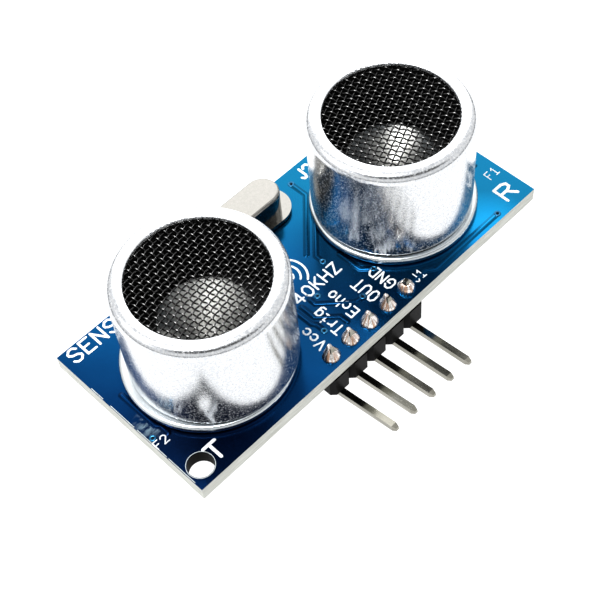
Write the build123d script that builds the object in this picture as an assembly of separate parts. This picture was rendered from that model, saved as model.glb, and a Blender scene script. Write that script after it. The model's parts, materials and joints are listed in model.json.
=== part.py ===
from build123d import *
import os

# Ultrasonic distance sensor: a bare circuit board that carries a transmitter can, a receiver can,
# a crystal and a five-pin header bent out over one long edge, with chips on its rear.
# Frame: the origin is the centre of the board's front face, which is also the centre of its two
# mounting holes. +X runs from the transmitter to the receiver, +Y away from the header's edge and
# +Z out of the front face. All sizes are in millimetres.

# Circuit board
BOARD_LENGTH = 45.0
BOARD_WIDTH = 20.0
BOARD_THICKNESS = 1.6
REAR = -BOARD_THICKNESS
HOLE_X = 20.9
HOLE_Y = 8.1
HOLE_R = 1.25

# Transducer cans: (name, centre x, centre y, foot ring's offset in x, in y)
TRANSDUCERS = (
    ("transmitter", -12.25, -0.64, -0.35, 0.29),
    ("receiver", 12.26, -0.3, 0.04, -0.12),
)
CAN_R = 8.0
CAN_WALL = 0.4
CAN_TOP = 12.3
CAN_FOOT = 1.0
CAN_FOOT_ROUND = 0.35
RIM_ROUND = 0.9
APERTURE_R = 6.4
APERTURE_ROUND = 0.12
LID_UNDER = CAN_TOP - CAN_WALL
CAN_BORE_R = CAN_R - CAN_WALL
GRILLE_R = 7.5
GRILLE_THICKNESS = 0.4

# Foot ring and base that close the can from below
RING_R = 8.33
RING_BORE_R = 7.35
RING_BOTTOM = 0.1
RING_TOP = 0.9
RING_ROUND = 0.3
BASE_PLUG_R = 6.85
BASE_TOP = 2.4

# Vibrating element inside each can, stacked on the base
LEAD_PITCH = 10.0
LEAD_R = 0.35
LEAD_TAIL = -2.9
LEAD_TOP = 4.6
PAD_R = 3.0
PAD_TOP = 3.5
PLATE_R = 4.3
PLATE_TOP = 3.75
PIEZO_R = 3.3
PIEZO_TOP = 4.15
CONE_HUB_R = 1.1
CONE_MOUTH_R = 4.2
CONE_MOUTH_Z = 6.1
CONE_WALL = 0.25
CONE_LIP_DROP = 0.2
WIRE_R = 0.08
WIRE_BEND_R = 0.125
WIRE_DROP = 0.3
WIRE_INSET_PLATE = 0.4
WIRE_INSET_PIEZO = 0.5

# Header: five square pins in a break-away moulding on the rear, bent outwards below it
PIN_NAMES = ("vcc", "trig", "echo", "out", "gnd")
PIN_PITCH = 2.54
PIN_SIZE = 0.64
PIN_HOLE_R = 0.5
LEAD_HOLE_GAP = 0.06
HEADER_Y = -8.7
HEADER_DEPTH = 2.48
HEADER_TOP = REAR - 0.45
HEADER_HEIGHT = 2.54
HEADER_NOTCH = 0.45
PIN_FRONT_TIP = 1.35
PIN_BEND_Z = -5.45
PIN_BEND_R = 0.75
PIN_TIP_Y = -16.85
PIN_TIP_Z = -4.1
PIN_TIP_STEP = -0.16
PIN_POINT = 0.45
PIN_POINT_ANGLE = 18

# Solder joints
HEADER_JOINT_R = 0.78
HEADER_JOINT_HEIGHT = 1.1
CAN_JOINT_R = 1.1
CRYSTAL_JOINT_R = 0.8
REAR_JOINT_HEIGHT = 0.95
JOINT_CLIMB = 0.12
JOINT_HOLLOW = 0.35
HEADER_JOINT_NECK = 0.46

# Crystal
CRYSTAL_X = -0.35
CRYSTAL_Y = 7.78
CRYSTAL_BASE_LENGTH = 11.35
CRYSTAL_BASE_WIDTH = 4.65
CRYSTAL_BASE_Z = (0.15, 0.6)
CRYSTAL_CAN_LENGTH = 9.1
CRYSTAL_CAN_WIDTH = 3.5
CRYSTAL_TOP = 3.5
CRYSTAL_WALL = 0.25
CRYSTAL_CROWN = 0.45
CRYSTAL_ROUND = 0.3
CRYSTAL_LEAD_PITCH = 4.88
CRYSTAL_LEAD_R = 0.215
CRYSTAL_LEAD_TAIL = -3.0
CRYSTAL_LEAD_STUB = 0.3
QUARTZ_SIZE = (7.0, 0.2, 1.9)

# Chips on the rear: (name, centre x, centre y, body length, leads on each side)
CHIPS = (
    ("transmit_driver", -12.35, -0.6, 9.9, 8),
    ("microcontroller", 0.0, 0.8, 8.65, 7),
    ("op_amp", 12.30, -0.6, 8.65, 7),
)
CHIP_WIDTH = 3.9
CHIP_BOTTOM = 0.1
CHIP_TOP = 1.6
CHIP_CHAMFER = 0.3
CHIP_DOT_R = 0.4
CHIP_DOT_DEPTH = 0.1
CHIP_DOT_INSET = 1.0
CHIP_LEAD_PITCH = 1.27
CHIP_LEAD_WIDTH = 0.42
CHIP_SPAN = 6.0
CHIP_LEAD_HEIGHT = 0.65
CHIP_LEAD_THICKNESS = 0.18
LEAD_FOOT = 0.45
LEAD_SHOULDER = 0.3
LEAD_LEAN = 0.1

TRANSISTOR_AT = (-10.2, -7.6)
TRANSISTOR_SIZE = (2.9, 1.3, 1.0)
TRANSISTOR_SPAN = 2.4
TRANSISTOR_LEAD_PITCH = 0.95
TRANSISTOR_LEAD_HEIGHT = 0.45
TRANSISTOR_LEAD_THICKNESS = 0.12
TRANSISTOR_CHAMFER = 0.15

# Chip resistors and capacitors: body length between the end caps, width, cap length and heights
PASSIVE_LENGTH = 1.6
PASSIVE_WIDTH = 0.8
END_CAP = 0.3
RESISTOR_HEIGHT = 0.45
CAPACITOR_HEIGHT = 0.8
RESISTORS_AT = (
    [(x, 7.9) for x in (-17.6, -15.2, -12.8, -10.4, -8.0)]
    + [(x, 7.9) for x in (8.0, 10.4, 12.8, 15.2)]
    + [(x, -7.9) for x in (9.2, 11.6)]
)
CAPACITORS_AT = (
    [(-19.9, y) for y in (4.2, 2.2, 0.2, -1.8)]
    + [(19.9, y) for y in (3.0, 1.0, -1.0, -3.0)]
    + [(-5.9, y) for y in (5.0, -4.2)]
    + [(5.9, y) for y in (5.0, -4.2)]
)


def rod(radius, z0, z1, x=0.0, y=0.0):
    """A round bar along Z from z0 to z1."""
    bar = Cylinder(radius, z1 - z0, align=(Align.CENTER, Align.CENTER, Align.MIN))
    return Pos(x, y, z0) * bar


def block(length, width, z0, z1, x=0.0, y=0.0):
    """A rectangular block from z0 to z1, centred on x, y."""
    body = Box(length, width, z1 - z0, align=(Align.CENTER, Align.CENTER, Align.MIN))
    return Pos(x, y, z0) * body


def turned(points):
    """A solid of revolution about Z from an outline of (radius, z) points."""
    outline = make_face(Plane.XZ * Polyline(*points, close=True))
    return revolve(outline, Axis.Z)


def at_rear(shape, x, y):
    """Turn a piece that was built standing on z = 0 over onto the board's rear face."""
    return Pos(x, y, REAR) * Rot(180, 0, 0) * shape


def group(solids):
    """Several separate solids kept together as one node."""
    return Compound(children=[s if isinstance(s, Solid) else s.solid() for s in solids])


def lead_places():
    """The x, y of all four transducer leads."""
    half = LEAD_PITCH / 2
    return [(x, y + side * half) for _, x, y, _, _ in TRANSDUCERS for side in (1, -1)]


def crystal_lead_places():
    half = CRYSTAL_LEAD_PITCH / 2
    return [(CRYSTAL_X + side * half, CRYSTAL_Y) for side in (-1, 1)]


def pin_places():
    middle = (len(PIN_NAMES) - 1) / 2
    return [((i - middle) * PIN_PITCH, HEADER_Y) for i in range(len(PIN_NAMES))]


def circuit_board():
    board = block(BOARD_LENGTH, BOARD_WIDTH, REAR, 0)
    for side in (-1, 1):
        board -= rod(HOLE_R, REAR, 0, side * HOLE_X, side * HOLE_Y)
    for x, y in pin_places():
        board -= rod(PIN_HOLE_R, REAR, 0, x, y)
    for x, y in lead_places():
        board -= rod(LEAD_R + LEAD_HOLE_GAP, REAR, 0, x, y)
    for x, y in crystal_lead_places():
        board -= rod(CRYSTAL_LEAD_R + LEAD_HOLE_GAP, REAR, 0, x, y)
    return board


def header_body():
    """Five segments with chamfered corners, so that V notches lie between them."""
    segment = block(PIN_PITCH, HEADER_DEPTH, HEADER_TOP - HEADER_HEIGHT, HEADER_TOP)
    segment = chamfer(segment.edges().filter_by(Axis.Z), HEADER_NOTCH)
    body = Part()
    for x, y in pin_places():
        body += Pos(x, y, 0) * segment
    for x, y in pin_places():
        body -= block(PIN_SIZE, PIN_SIZE, HEADER_TOP - HEADER_HEIGHT, HEADER_TOP, x, y)
    return body


def header_pin(index):
    """A square pin: straight through the board and the moulding, bent outwards, pointed at both ends."""
    x, y = pin_places()[index]
    tip = (x, PIN_TIP_Y, PIN_TIP_Z + PIN_TIP_STEP * (index - (len(PIN_NAMES) - 1) / 2))
    corner = (x, y, PIN_BEND_Z)
    front = (x, y, PIN_FRONT_TIP - PIN_POINT)
    run = Vector(tip) - Vector(corner)
    tip_root = Vector(tip) - run.normalized() * PIN_POINT
    path = FilletPolyline(front, corner, tip_root, radius=PIN_BEND_R)
    section = Rectangle(PIN_SIZE, PIN_SIZE)
    stem = sweep(Plane(origin=front, x_dir=(1, 0, 0), z_dir=(0, 0, -1)) * section, path=path)
    ends = (
        Plane(origin=front, x_dir=(1, 0, 0), z_dir=(0, 0, 1)),
        Plane(origin=tip_root, x_dir=(1, 0, 0), z_dir=run.normalized()),
    )
    for end in ends:
        stem += extrude(end * section, PIN_POINT, taper=PIN_POINT_ANGLE)
    return stem


def fillet_joint(radius, height, neck):
    """A solder joint standing on z = 0: a hollow-sided cone that climbs the lead to the neck."""
    foot = (radius, 0)
    crest = (neck, height)
    middle = (neck + (radius - neck) * JOINT_HOLLOW, height * JOINT_HOLLOW)
    side = ThreePointArc(foot, middle, crest)
    outline = side + Polyline(crest, (0, height), (0, 0), foot)
    return revolve(make_face(Plane.XZ * outline), Axis.Z)


def header_solder_joints():
    joint = fillet_joint(HEADER_JOINT_R, HEADER_JOINT_HEIGHT, HEADER_JOINT_NECK)
    joint -= block(PIN_SIZE, PIN_SIZE, 0, PIN_FRONT_TIP - PIN_POINT)
    point = extrude(Pos(0, 0, PIN_FRONT_TIP - PIN_POINT) * Rectangle(PIN_SIZE, PIN_SIZE),
                    PIN_POINT, taper=PIN_POINT_ANGLE)
    joint -= point
    return group([Pos(x, y, 0) * joint for x, y in pin_places()])


def rear_solder_joints(places, radius, lead_r):
    joint = fillet_joint(radius, REAR_JOINT_HEIGHT, lead_r + JOINT_CLIMB)
    joint -= rod(lead_r, 0, REAR_JOINT_HEIGHT)
    return group([at_rear(joint, x, y) for x, y in places])


def transducer_can():
    """A drawn cup, mouth down, with a round aperture in its lid."""
    can = rod(CAN_R, CAN_FOOT, CAN_TOP)
    can -= rod(CAN_BORE_R, CAN_FOOT, LID_UNDER)
    can -= rod(APERTURE_R, LID_UNDER, CAN_TOP)
    circles = can.edges().filter_by(GeomType.CIRCLE)
    outer = circles.filter_by(lambda e: e.radius > CAN_R - 0.01).sort_by(Axis.Z)
    can = fillet(outer[-1], RIM_ROUND)
    circles = can.edges().filter_by(GeomType.CIRCLE)
    outer = circles.filter_by(lambda e: e.radius > CAN_R - 0.01).sort_by(Axis.Z)
    can = fillet(outer[0], CAN_FOOT_ROUND)
    circles = can.edges().filter_by(GeomType.CIRCLE)
    inner = circles.filter_by(lambda e: e.radius < APERTURE_R + 0.01).sort_by(Axis.Z)
    return fillet(inner[-1], APERTURE_ROUND)


def foot_ring():
    """The rolled ring that the can stands on."""
    ring = rod(RING_R, RING_BOTTOM, RING_TOP) - rod(RING_BORE_R, RING_BOTTOM, RING_TOP)
    rim = ring.edges().filter_by(GeomType.CIRCLE).filter_by(lambda e: e.radius > RING_R - 0.01)
    return fillet(rim, RING_ROUND)


def transducer_base():
    """A stepped plug: the lower step fits the foot ring, the upper one the can's bore."""
    base = turned([(0, 0), (BASE_PLUG_R, 0), (BASE_PLUG_R, RING_TOP),
                   (CAN_BORE_R, RING_TOP), (CAN_BORE_R, BASE_TOP), (0, BASE_TOP)])
    for side in (-1, 1):
        base -= rod(LEAD_R, 0, BASE_TOP, 0, side * LEAD_PITCH / 2)
    return base


def radiator_cone():
    """A thin cone with a flat hub, open upwards towards the grille."""
    slope = (CONE_MOUTH_Z - PIEZO_TOP) / (CONE_MOUTH_R - CONE_HUB_R)
    lip = CONE_WALL * slope
    return turned([(0, PIEZO_TOP), (CONE_HUB_R, PIEZO_TOP),
                   (CONE_MOUTH_R + CONE_WALL, CONE_MOUTH_Z - lip * CONE_LIP_DROP),
                   (CONE_MOUTH_R, CONE_MOUTH_Z),
                   (CONE_HUB_R - CONE_WALL * 0.5, PIEZO_TOP + CONE_WALL),
                   (0, PIEZO_TOP + CONE_WALL)])


def lead_wire(side, landing_r, landing_z):
    """A fine wire from the inner side of a lead down to its contact."""
    half = LEAD_PITCH / 2
    height = LEAD_TOP - WIRE_DROP
    path = FilletPolyline((0, side * (half - LEAD_R), height), (0, side * landing_r, height),
                          (0, side * landing_r, landing_z), radius=WIRE_BEND_R)
    start = Plane(origin=path @ 0, z_dir=path % 0)
    return sweep(start * Circle(WIRE_R), path=path)


def transducer_pieces():
    """Every piece of one transducer, on its own centre line."""
    half = LEAD_PITCH / 2
    return {
        "can": transducer_can(),
        "foot_ring": foot_ring(),
        "grille": rod(GRILLE_R, LID_UNDER - GRILLE_THICKNESS, LID_UNDER),
        "base": transducer_base(),
        "silicone_pad": rod(PAD_R, BASE_TOP, PAD_TOP),
        "metal_plate": rod(PLATE_R, PAD_TOP, PLATE_TOP),
        "piezo_disc": rod(PIEZO_R, PLATE_TOP, PIEZO_TOP),
        "cone": radiator_cone(),
        "leads": group([rod(LEAD_R, LEAD_TAIL, LEAD_TOP, 0, side * half) for side in (1, -1)]),
        "lead_wires": group([lead_wire(1, PLATE_R - WIRE_INSET_PLATE, PLATE_TOP),
                             lead_wire(-1, PIEZO_R - WIRE_INSET_PIEZO, PIEZO_TOP)]),
    }


def transducers():
    nodes = {}
    for name, x, y, ring_x, ring_y in TRANSDUCERS:
        for piece, shape in transducer_pieces().items():
            shift = (ring_x, ring_y) if piece == "foot_ring" else (0, 0)
            nodes[f"{name}_{piece}"] = Pos(x + shift[0], y + shift[1], 0) * shape
    return nodes


def crystal():
    """A low oval can on a flanged base, with the quartz blank standing inside."""
    low, high = CRYSTAL_BASE_Z
    place = Pos(CRYSTAL_X, CRYSTAL_Y, 0)
    base = extrude(Pos(0, 0, low) * SlotOverall(CRYSTAL_BASE_LENGTH, CRYSTAL_BASE_WIDTH), high - low)
    can = extrude(Pos(0, 0, high) * SlotOverall(CRYSTAL_CAN_LENGTH, CRYSTAL_CAN_WIDTH),
                  CRYSTAL_TOP - high)
    can = fillet(can.faces().sort_by(Axis.Z)[-1].edges(), CRYSTAL_ROUND)
    hollow = SlotOverall(CRYSTAL_CAN_LENGTH - 2 * CRYSTAL_WALL, CRYSTAL_CAN_WIDTH - 2 * CRYSTAL_WALL)
    can -= extrude(Pos(0, 0, high) * hollow, CRYSTAL_TOP - high - CRYSTAL_CROWN)
    half = CRYSTAL_LEAD_PITCH / 2
    lead_top = high + CRYSTAL_LEAD_STUB
    for side in (-1, 1):
        base -= rod(CRYSTAL_LEAD_R, low, high, side * half)
    leads = [rod(CRYSTAL_LEAD_R, CRYSTAL_LEAD_TAIL, lead_top, side * half) for side in (-1, 1)]
    length, width, height = QUARTZ_SIZE
    return {
        "crystal_base": place * base,
        "crystal_can": place * can,
        "crystal_leads": place * group(leads),
        "quartz_blank": place * block(length, width, lead_top, lead_top + height),
    }


def gull_wing(inner, outer, height, thickness):
    """A bent chip lead in the YZ plane, from the body's side at inner down to its foot at outer."""
    heel = outer - LEAD_FOOT
    knee = inner + LEAD_SHOULDER
    top = height + thickness
    outline = Polyline((inner, top), (knee + LEAD_LEAN / 2, top), (heel + LEAD_LEAN, thickness),
                       (outer, thickness), (outer, 0), (heel, 0), (knee - LEAD_LEAN / 2, height),
                       (inner, height), close=True)
    return extrude(Plane.YZ * make_face(outline), CHIP_LEAD_WIDTH / 2, both=True)


def chip_body(length):
    body = block(length, CHIP_WIDTH, CHIP_BOTTOM, CHIP_TOP)
    body = chamfer(body.faces().sort_by(Axis.Z)[-1].edges(), CHIP_CHAMFER)
    dot = rod(CHIP_DOT_R, CHIP_TOP - CHIP_DOT_DEPTH, CHIP_TOP,
              CHIP_DOT_INSET - length / 2, CHIP_WIDTH / 2 - CHIP_DOT_INSET)
    return body - dot


def chip_leads(count):
    lead = gull_wing(CHIP_WIDTH / 2, CHIP_SPAN / 2, CHIP_LEAD_HEIGHT, CHIP_LEAD_THICKNESS)
    first = -(count - 1) / 2 * CHIP_LEAD_PITCH
    rows = [Pos(first + i * CHIP_LEAD_PITCH, 0, 0) * lead for i in range(count)]
    return group(rows + [Rot(0, 0, 180) * row for row in rows])


def chips():
    nodes = {}
    for name, x, y, length, count in CHIPS:
        nodes[name] = at_rear(chip_body(length), x, y)
        nodes[f"{name}_leads"] = at_rear(chip_leads(count), x, y)
    return nodes


def transistor():
    length, width, height = TRANSISTOR_SIZE
    body = block(length, width, CHIP_BOTTOM, height)
    body = chamfer(body.faces().sort_by(Axis.Z)[-1].edges(), TRANSISTOR_CHAMFER)
    lead = gull_wing(width / 2, TRANSISTOR_SPAN / 2, TRANSISTOR_LEAD_HEIGHT,
                     TRANSISTOR_LEAD_THICKNESS)
    pair = [Pos(side * TRANSISTOR_LEAD_PITCH, 0, 0) * lead for side in (-1, 1)]
    leads = group(pair + [Rot(0, 0, 180) * lead])
    return {
        "transistor": at_rear(body, *TRANSISTOR_AT),
        "transistor_leads": at_rear(leads, *TRANSISTOR_AT),
    }


def passives():
    """Chip resistors and capacitors, and the metal caps on their ends."""
    middle = PASSIVE_LENGTH - 2 * END_CAP
    nodes, caps = {}, []
    for name, places, height in (("chip_resistors", RESISTORS_AT, RESISTOR_HEIGHT),
                                 ("chip_capacitors", CAPACITORS_AT, CAPACITOR_HEIGHT)):
        body = block(middle, PASSIVE_WIDTH, 0, height)
        nodes[name] = group([at_rear(body, x, y) for x, y in places])
        for side in (-1, 1):
            cap = block(END_CAP, PASSIVE_WIDTH, 0, height, side * (middle + END_CAP) / 2)
            caps += [at_rear(cap, x, y) for x, y in places]
    nodes["chip_end_caps"] = group(caps)
    return nodes


def all_nodes():
    nodes = {"circuit_board": circuit_board(), "header_body": header_body()}
    for index, name in enumerate(PIN_NAMES):
        nodes[f"header_pin_{name}"] = header_pin(index)
    nodes["header_solder_joints"] = header_solder_joints()
    nodes["transducer_solder_joints"] = rear_solder_joints(lead_places(), CAN_JOINT_R, LEAD_R)
    nodes["crystal_solder_joints"] = rear_solder_joints(crystal_lead_places(), CRYSTAL_JOINT_R,
                                                        CRYSTAL_LEAD_R)
    for more in (transducers(), crystal(), chips(), transistor(), passives()):
        nodes.update(more)
    return nodes


os.makedirs("parts", exist_ok=True)
for node, shape in all_nodes().items():
    export_step(shape, f"parts/{node}.step")
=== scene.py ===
import json
import math

import bpy
import numpy as np
from mathutils import Matrix, Vector


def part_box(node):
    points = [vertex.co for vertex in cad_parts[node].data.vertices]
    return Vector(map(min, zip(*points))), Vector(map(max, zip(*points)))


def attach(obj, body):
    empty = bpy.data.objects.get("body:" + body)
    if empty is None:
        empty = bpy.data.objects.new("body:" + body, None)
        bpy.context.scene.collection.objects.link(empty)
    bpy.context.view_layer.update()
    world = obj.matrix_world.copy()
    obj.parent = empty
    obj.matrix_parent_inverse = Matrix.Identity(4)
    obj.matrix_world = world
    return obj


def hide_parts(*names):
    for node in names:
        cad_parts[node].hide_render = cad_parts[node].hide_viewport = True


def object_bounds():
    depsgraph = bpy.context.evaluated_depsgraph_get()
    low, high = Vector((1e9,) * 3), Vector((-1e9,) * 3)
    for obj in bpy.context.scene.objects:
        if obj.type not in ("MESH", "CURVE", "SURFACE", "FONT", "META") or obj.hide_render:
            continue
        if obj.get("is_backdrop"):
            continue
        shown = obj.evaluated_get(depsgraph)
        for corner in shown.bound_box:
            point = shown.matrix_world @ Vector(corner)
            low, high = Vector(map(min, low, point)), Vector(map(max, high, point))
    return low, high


# Ultrasonic distance sensor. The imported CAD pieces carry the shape; this script adds the woven
# grilles, the solder, the printed legends, the tracks and pads, and every finish.
# Sizes below are in millimetres in the CAD frame, and are scaled to metres where Blender takes them.

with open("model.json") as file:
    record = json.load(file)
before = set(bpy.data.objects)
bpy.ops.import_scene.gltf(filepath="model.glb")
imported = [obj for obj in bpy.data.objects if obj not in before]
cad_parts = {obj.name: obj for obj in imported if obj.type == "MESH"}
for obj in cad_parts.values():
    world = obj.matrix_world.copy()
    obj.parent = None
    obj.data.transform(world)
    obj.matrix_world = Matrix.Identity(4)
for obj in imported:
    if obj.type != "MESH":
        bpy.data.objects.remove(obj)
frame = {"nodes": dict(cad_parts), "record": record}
cad_low, cad_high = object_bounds()
MM = 0.001
NODES = frame["nodes"]


def node_box(name):
    """Lowest and highest corner of a CAD node, in millimetres."""
    low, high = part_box(name)
    return np.array(low) / MM, np.array(high) / MM


BOARD_LOW, BOARD_HIGH = node_box("circuit_board")
FRONT = BOARD_HIGH[2]
REAR = BOARD_LOW[2]
SIDES = ("transmitter", "receiver")
CAN_WALL = 0.4
PINS = ("vcc", "trig", "echo", "out", "gnd")

# ---------------------------------------------------------------- meshes


def mesh_object(name, verts, faces, finish):
    """A smooth-shaded mesh object in the scene, from millimetre points."""
    mesh = bpy.data.meshes.new(name)
    mesh.from_pydata([tuple(v) for v in np.asarray(verts, float) * MM], [], faces)
    mesh.validate()
    mesh.materials.append(finish)
    mesh.shade_smooth()
    piece = bpy.data.objects.new(name, mesh)
    bpy.context.scene.collection.objects.link(piece)
    return piece


def add_piece(name, verts, faces, finish, replaces=()):
    """A visual piece of the sensor, riding on its one rigid body."""
    piece = mesh_object(name, verts, faces, finish)
    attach(piece, "root")
    if replaces:
        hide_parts(*replaces)


# Each stroke of a shape ends a little higher than the one before, so that crossings don't flicker.
STROKE_STEP = 0.0006
STROKE_LEVELS = 40
# Where the rings of a stroke's round ends stand, as shares of its half width beyond the end point.
END_REACHES = (0.97, 0.8, 0.45)
# At sharp bends a stroke widens no further than one over this.
SHARPEST_MITRE = 0.4
CORNER_STEPS = 4


class Shape:
    """Collects closed shells, so that many small ones make one piece."""

    def __init__(self):
        self.verts = []
        self.faces = []
        self.count = 0

    def loops(self, rings):
        """Skin a stack of equal rings of points into one closed shell."""
        start = len(self.verts)
        count = len(rings[0])
        for ring in rings:
            self.verts.extend(ring)
        for i in range(len(rings) - 1):
            a = start + i * count
            for j in range(count):
                k = (j + 1) % count
                self.faces.append((a + j, a + k, a + count + k, a + count + j))
        last = start + (len(rings) - 1) * count
        self.faces.append(tuple(range(start + count - 1, start - 1, -1)))
        self.faces.append(tuple(range(last, last + count)))

    def stroke(self, points, width, height, z, side=1, crown=0.75):
        """A flat raised line with round ends along points in the board's plane."""
        self.count += 1
        height += STROKE_STEP * (self.count % STROKE_LEVELS)
        pts = [np.array(p, float) for p in points]
        half = width / 2
        first = (pts[1] - pts[0]) / np.linalg.norm(pts[1] - pts[0])
        last = (pts[-1] - pts[-2]) / np.linalg.norm(pts[-1] - pts[-2])
        spine = [(pts[0] - first * half * t, half * math.sqrt(1 - t * t), first) for t in END_REACHES]
        for i, p in enumerate(pts):
            before = first if i == 0 else (p - pts[i - 1]) / np.linalg.norm(p - pts[i - 1])
            after = last if i == len(pts) - 1 else (pts[i + 1] - p) / np.linalg.norm(pts[i + 1] - p)
            along = before + after
            along /= np.linalg.norm(along)
            spine.append((p, half / max(SHARPEST_MITRE, float(along @ after)), along))
        spine += [(pts[-1] + last * half * t, half * math.sqrt(1 - t * t), last)
                  for t in END_REACHES[::-1]]
        section = ((-1, 0), (-crown, 1), (crown, 1), (1, 0))
        rings = []
        for p, reach, along in spine:
            across = np.array([-along[1], along[0]])
            ring = [(*(p + across * reach * s), z + side * height * h) for s, h in section]
            rings.append(ring[::side])
        self.loops(rings)

    def turned(self, profile, centre, z, side=1, sides=28, wobble=None):
        """A closed solid of revolution from (radius, height) pairs, about a line through centre."""
        rings = []
        for level, (radius, height) in enumerate(profile):
            ring = []
            for j in range(sides):
                angle = 2 * math.pi * j / sides * side
                r = radius * (1 + (wobble(angle, level) if wobble else 0))
                ring.append((centre[0] + r * math.cos(angle), centre[1] + r * math.sin(angle),
                             z + side * height))
            rings.append(ring)
        self.loops(rings)

    def slab(self, centre, size, height, z, side=1, corner=0.12):
        """A thin rectangular pad with rounded corners."""
        sx, sy = size[0] / 2 - corner, size[1] / 2 - corner
        outline = []
        for cx, cy, start in ((sx, sy, 0), (-sx, sy, 90), (-sx, -sy, 180), (sx, -sy, 270)):
            for step in range(CORNER_STEPS):
                angle = math.radians(start + step * 90 / (CORNER_STEPS - 1))
                outline.append((cx + corner * math.cos(angle), cy + corner * math.sin(angle)))
        rings = []
        for shrink, level in ((1.0, 0.0), (1.0, 0.6), (0.93, 1.0)):
            ring = [(centre[0] + x * shrink, centre[1] + y * shrink, z + side * height * level)
                    for x, y in outline]
            rings.append(ring[::side])
        self.loops(rings)

    def build(self, name, finish, slot, replaces=()):
        add_piece(name, self.verts, self.faces, finish, replaces)


# ---------------------------------------------------------------- finishes


def maths_node(tree, operation, *values):
    """A math node fed by numbers and sockets."""
    node = tree.nodes.new("ShaderNodeMath")
    node.operation = operation
    for socket, value in zip(node.inputs, values):
        if isinstance(value, (int, float)):
            socket.default_value = value
        else:
            tree.links.new(value, socket)
    return node.outputs[0]


def range_node(tree, value, low, high, to_low, to_high, ease="LINEAR"):
    """Maps low..high onto to_low..to_high, and holds the ends beyond them."""
    node = tree.nodes.new("ShaderNodeMapRange")
    node.interpolation_type = ease
    for socket, number in zip(("From Min", "From Max", "To Min", "To Max"), (low, high, to_low, to_high)):
        node.inputs[socket].default_value = number
    tree.links.new(value, node.inputs["Value"])
    return node.outputs["Result"]


# The Mix node has several sockets of one name, so its colour sockets are found by number.
MIX_COLOURS = (6, 7)
MIX_RESULT = 2


class Finish:
    """A node material built up step by step around one Principled shader."""

    def __init__(self, name, colour, roughness, metallic=0.0, **sockets):
        self.material = bpy.data.materials.new(name)
        self.material.use_nodes = True
        self.tree = self.material.node_tree
        self.shader = self.tree.nodes["Principled BSDF"]
        self.shader.inputs["Base Color"].default_value = (*colour, 1.0)
        self.shader.inputs["Roughness"].default_value = roughness
        self.shader.inputs["Metallic"].default_value = metallic
        for socket, value in sockets.items():
            self.shader.inputs[socket.replace("_", " ")].default_value = value
        self.place = self.tree.nodes.new("ShaderNodeTexCoord").outputs["Object"]
        self.normal = None

    def link(self, a, b):
        self.tree.links.new(a, b)

    def mapped(self, stretch):
        """The object's own coordinates, squeezed so that features run long where stretch is small."""
        if stretch == (1, 1, 1):
            return self.place
        node = self.tree.nodes.new("ShaderNodeMapping")
        node.inputs["Scale"].default_value = stretch
        self.link(self.place, node.inputs["Vector"])
        return node.outputs["Vector"]

    def noise(self, size, detail=3.0, stretch=(1, 1, 1), rough=0.55):
        """Noise whose features are about size millimetres across."""
        node = self.tree.nodes.new("ShaderNodeTexNoise")
        node.inputs["Scale"].default_value = 1 / (size * MM)
        node.inputs["Detail"].default_value = detail
        node.inputs["Roughness"].default_value = rough
        self.link(self.mapped(stretch), node.inputs["Vector"])
        return node.outputs["Fac"]

    def maths(self, operation, *values):
        return maths_node(self.tree, operation, *values)

    def span(self, value, low, high, to_low=0.0, to_high=1.0):
        return range_node(self.tree, value, low, high, to_low, to_high)

    def mixed(self, factor, a, b):
        """A colour between a and b, each a colour or a socket."""
        node = self.tree.nodes.new("ShaderNodeMix")
        node.data_type = "RGBA"
        self.link(factor, node.inputs["Factor"])
        for index, value in zip(MIX_COLOURS, (a, b)):
            if isinstance(value, tuple):
                node.inputs[index].default_value = (*value, 1.0)
            else:
                self.link(value, node.inputs[index])
        return node.outputs[MIX_RESULT]

    def colour(self, socket):
        self.link(socket, self.shader.inputs["Base Color"])

    def roughness(self, socket):
        self.link(socket, self.shader.inputs["Roughness"])

    def bump(self, height, strength, depth):
        """Bump of a depth in millimetres, laid over any bump that is already there."""
        node = self.tree.nodes.new("ShaderNodeBump")
        node.inputs["Strength"].default_value = strength
        node.inputs["Distance"].default_value = depth * MM
        self.link(height, node.inputs["Height"])
        if self.normal:
            self.link(self.normal, node.inputs["Normal"])
        self.normal = node.outputs["Normal"]
        self.link(self.normal, self.shader.inputs["Normal"])

    def axis(self, name):
        """One component of the place, in metres."""
        node = self.tree.nodes.new("ShaderNodeSeparateXYZ")
        self.link(self.place, node.inputs[0])
        return node.outputs[name]

    def distance(self, x, y):
        """How far the place is from a line along Z through x, y in millimetres."""
        flat = self.tree.nodes.new("ShaderNodeCombineXYZ")
        self.link(self.axis("X"), flat.inputs["X"])
        self.link(self.axis("Y"), flat.inputs["Y"])
        node = self.tree.nodes.new("ShaderNodeVectorMath")
        node.operation = "DISTANCE"
        self.link(flat.outputs[0], node.inputs[0])
        node.inputs[1].default_value = (x * MM, y * MM, 0)
        return node.outputs["Value"]

    def scaled(self, colour, factor):
        """A colour made darker or brighter by a number or a socket."""
        node = self.tree.nodes.new("ShaderNodeVectorMath")
        node.operation = "SCALE"
        self.link(colour, node.inputs[0])
        if isinstance(factor, float):
            node.inputs["Scale"].default_value = factor
        else:
            self.link(factor, node.inputs["Scale"])
        return node.outputs["Vector"]

    def facing(self, name):
        """One component of the surface's own normal."""
        node = self.tree.nodes.new("ShaderNodeSeparateXYZ")
        self.link(self.tree.nodes.new("ShaderNodeNewGeometry").outputs["Normal"], node.inputs[0])
        return node.outputs[name]


MASK_BLUE = (0.002, 0.066, 0.185)
MASK_TEAL = (0.004, 0.112, 0.215)
MASK_NAVY = (0.001, 0.024, 0.098)
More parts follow.
